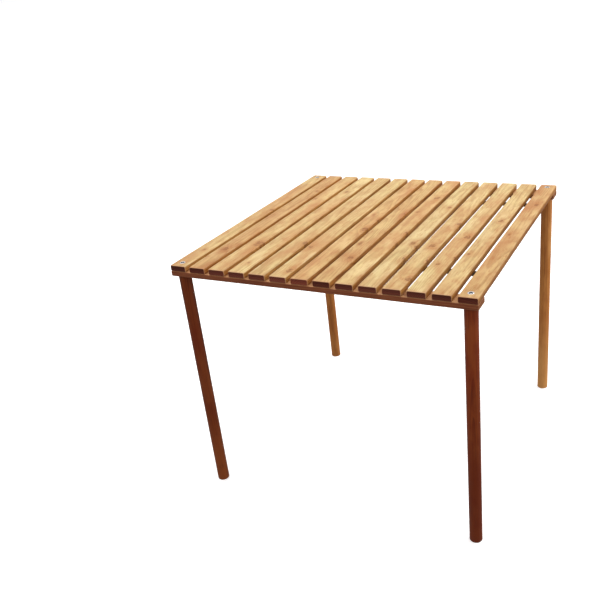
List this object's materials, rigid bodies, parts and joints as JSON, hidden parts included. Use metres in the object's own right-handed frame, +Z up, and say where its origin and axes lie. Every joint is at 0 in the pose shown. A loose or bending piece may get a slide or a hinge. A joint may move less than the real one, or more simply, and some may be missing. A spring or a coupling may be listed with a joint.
{
  "type": "folding picnic table",
  "caption": "Square picnic table whose slatted top rolls up on webbing straps, with loose rails and round legs that screw in at the corners.",
  "frame": {"origin": "on the floor, under the middle of the table top", "axes": "+X across the slats from the first slat to the last, +Y along the slats from front to back, +Z up"},
  "size_m": [0.711, 0.711, 0.6],
  "materials": {
    "slat_wood": "oiled honey pine, long grain with small knots, satin varnish",
    "rail_wood": "stained softwood, satin varnish",
    "leg_wood": "stained hardwood dowel, satin varnish, streaked along the grain",
    "webbing": "flat black polypropylene webbing",
    "zinc_plate": "bright zinc plate"
  },
  "bodies": {
    "top_01": {"slat_01": "slat_wood", "strap_front_01": "webbing", "strap_back_01": "webbing", "insert_front_left": "zinc_plate", "insert_back_left": "zinc_plate"},
    "top_02": {"slat_02": "slat_wood", "strap_front_02": "webbing", "strap_back_02": "webbing"},
    "top_03": {"slat_03": "slat_wood", "strap_front_03": "webbing", "strap_back_03": "webbing"},
    "top_04": {"slat_04": "slat_wood", "strap_front_04": "webbing", "strap_back_04": "webbing"},
    "top_05": {"slat_05": "slat_wood", "strap_front_05": "webbing", "strap_back_05": "webbing"},
    "top_06": {"slat_06": "slat_wood", "strap_front_06": "webbing", "strap_back_06": "webbing"},
    "top_07": {"slat_07": "slat_wood", "strap_front_07": "webbing", "strap_back_07": "webbing"},
    "top_08": {"slat_08": "slat_wood", "strap_front_08": "webbing", "strap_back_08": "webbing"},
    "top_09": {"slat_09": "slat_wood", "strap_front_09": "webbing", "strap_back_09": "webbing"},
    "top_10": {"slat_10": "slat_wood", "strap_front_10": "webbing", "strap_back_10": "webbing"},
    "top_11": {"slat_11": "slat_wood", "strap_front_11": "webbing", "strap_back_11": "webbing"},
    "top_12": {"slat_12": "slat_wood", "strap_front_12": "webbing", "strap_back_12": "webbing"},
    "top_13": {"slat_13": "slat_wood", "strap_front_13": "webbing", "strap_back_13": "webbing"},
    "top_14": {"slat_14": "slat_wood", "strap_front_14": "webbing", "strap_back_14": "webbing", "insert_front_right": "zinc_plate", "insert_back_right": "zinc_plate"},
    "front_rail": {"rail_front": "rail_wood"},
    "back_rail": {"rail_back": "rail_wood"},
    "front_left_bolt": {"hanger_bolt_front_left": "zinc_plate"},
    "front_left_leg": {"leg_front_left": "leg_wood"},
    "front_right_bolt": {"hanger_bolt_front_right": "zinc_plate"},
    "front_right_leg": {"leg_front_right": "leg_wood"},
    "back_left_bolt": {"hanger_bolt_back_left": "zinc_plate"},
    "back_left_leg": {"leg_back_left": "leg_wood"},
    "back_right_bolt": {"hanger_bolt_back_right": "zinc_plate"},
    "back_right_leg": {"leg_back_right": "leg_wood"}
  },
  "joints": [
    {"name": "roll_01", "type": "hinge", "parent": "top_01", "child": "top_02", "pos_m": [-0.30923, 0, 0.5855], "axis": [0, -1, 0], "range_deg": [0, 28.5]},
    {"name": "roll_02", "type": "hinge", "parent": "top_02", "child": "top_03", "pos_m": [-0.25769, 0, 0.5855], "axis": [0, -1, 0], "range_deg": [0, 29.51]},
    {"name": "roll_03", "type": "hinge", "parent": "top_03", "child": "top_04", "pos_m": [-0.20615, 0, 0.5855], "axis": [0, -1, 0], "range_deg": [0, 30.51]},
    {"name": "roll_04", "type": "hinge", "parent": "top_04", "child": "top_05", "pos_m": [-0.15462, 0, 0.5855], "axis": [0, -1, 0], "range_deg": [0, 31.51]},
    {"name": "roll_05", "type": "hinge", "parent": "top_05", "child": "top_06", "pos_m": [-0.10308, 0, 0.5855], "axis": [0, -1, 0], "range_deg": [0, 32.51]},
    {"name": "roll_06", "type": "hinge", "parent": "top_06", "child": "top_07", "pos_m": [-0.05154, 0, 0.5855], "axis": [0, -1, 0], "range_deg": [0, 33.51]},
    {"name": "roll_07", "type": "hinge", "parent": "top_07", "child": "top_08", "pos_m": [0, 0, 0.5855], "axis": [0, -1, 0], "range_deg": [0, 34.51]},
    {"name": "roll_08", "type": "hinge", "parent": "top_08", "child": "top_09", "pos_m": [0.05154, 0, 0.5855], "axis": [0, -1, 0], "range_deg": [0, 35.51]},
    {"name": "roll_09", "type": "hinge", "parent": "top_09", "child": "top_10", "pos_m": [0.10308, 0, 0.5855], "axis": [0, -1, 0], "range_deg": [0, 36.51]},
    {"name": "roll_10", "type": "hinge", "parent": "top_10", "child": "top_11", "pos_m": [0.15462, 0, 0.5855], "axis": [0, -1, 0], "range_deg": [0, 37.51]},
    {"name": "roll_11", "type": "hinge", "parent": "top_11", "child": "top_12", "pos_m": [0.20615, 0, 0.5855], "axis": [0, -1, 0], "range_deg": [0, 38.51]},
    {"name": "roll_12", "type": "hinge", "parent": "top_12", "child": "top_13", "pos_m": [0.25769, 0, 0.5855], "axis": [0, -1, 0], "range_deg": [0, 39.51]},
    {"name": "roll_13", "type": "hinge", "parent": "top_13", "child": "top_14", "pos_m": [0.30923, 0, 0.5855], "axis": [0, -1, 0], "range_deg": [0, 40.51]},
    {"name": "front_rail_off", "type": "slide", "parent": "top_01", "child": "front_rail", "axis": [0, 0, -1], "range_m": [0, 0.015]},
    {"name": "back_rail_off", "type": "slide", "parent": "top_01", "child": "back_rail", "axis": [0, 0, -1], "range_m": [0, 0.015]},
    {"name": "front_left_bolt_travel", "type": "slide", "parent": "front_rail", "child": "front_left_bolt", "axis": [0, 0, -1], "range_m": [0, 0.01001]},
    {"name": "front_left_leg_turn", "type": "hinge", "parent": "front_left_bolt", "child": "front_left_leg", "pos_m": [-0.335, -0.335, 0.3], "axis": [0, 0, -1], "range_deg": [0, 2880]},
    {"name": "front_right_bolt_travel", "type": "slide", "parent": "front_rail", "child": "front_right_bolt", "axis": [0, 0, -1], "range_m": [0, 0.01001]},
    {"name": "front_right_leg_turn", "type": "hinge", "parent": "front_right_bolt", "child": "front_right_leg", "pos_m": [0.335, -0.335, 0.3], "axis": [0, 0, -1], "range_deg": [0, 2880]},
    {"name": "back_left_bolt_travel", "type": "slide", "parent": "back_rail", "child": "back_left_bolt", "axis": [0, 0, -1], "range_m": [0, 0.01001]},
    {"name": "back_left_leg_turn", "type": "hinge", "parent": "back_left_bolt", "child": "back_left_leg", "pos_m": [-0.335, 0.335, 0.3], "axis": [0, 0, -1], "range_deg": [0, 2880]},
    {"name": "back_right_bolt_travel", "type": "slide", "parent": "back_rail", "child": "back_right_bolt", "axis": [0, 0, -1], "range_m": [0, 0.01001]},
    {"name": "back_right_leg_turn", "type": "hinge", "parent": "back_right_bolt", "child": "back_right_leg", "pos_m": [0.335, 0.335, 0.3], "axis": [0, 0, -1], "range_deg": [0, 2880]}
  ],
  "couplings": [
    {"joint": "roll_02", "follows": "roll_01", "ratio": 1.0351},
    {"joint": "roll_03", "follows": "roll_01", "ratio": 1.0702},
    {"joint": "roll_04", "follows": "roll_01", "ratio": 1.1053},
    {"joint": "roll_05", "follows": "roll_01", "ratio": 1.1404},
    {"joint": "roll_06", "follows": "roll_01", "ratio": 1.1754},
    {"joint": "roll_07", "follows": "roll_01", "ratio": 1.2105},
    {"joint": "roll_08", "follows": "roll_01", "ratio": 1.2456},
    {"joint": "roll_09", "follows": "roll_01", "ratio": 1.2807},
    {"joint": "roll_10", "follows": "roll_01", "ratio": 1.3158},
    {"joint": "roll_11", "follows": "roll_01", "ratio": 1.3509},
    {"joint": "roll_12", "follows": "roll_01", "ratio": 1.386},
    {"joint": "roll_13", "follows": "roll_01", "ratio": 1.4211},
    {"joint": "front_left_bolt_travel", "follows": "front_left_leg_turn", "m_per_rad": 0.00019894},
    {"joint": "front_right_bolt_travel", "follows": "front_right_leg_turn", "m_per_rad": 0.00019894},
    {"joint": "back_left_bolt_travel", "follows": "back_left_leg_turn", "m_per_rad": 0.00019894},
    {"joint": "back_right_bolt_travel", "follows": "back_right_leg_turn", "m_per_rad": 0.00019894}
  ]
}
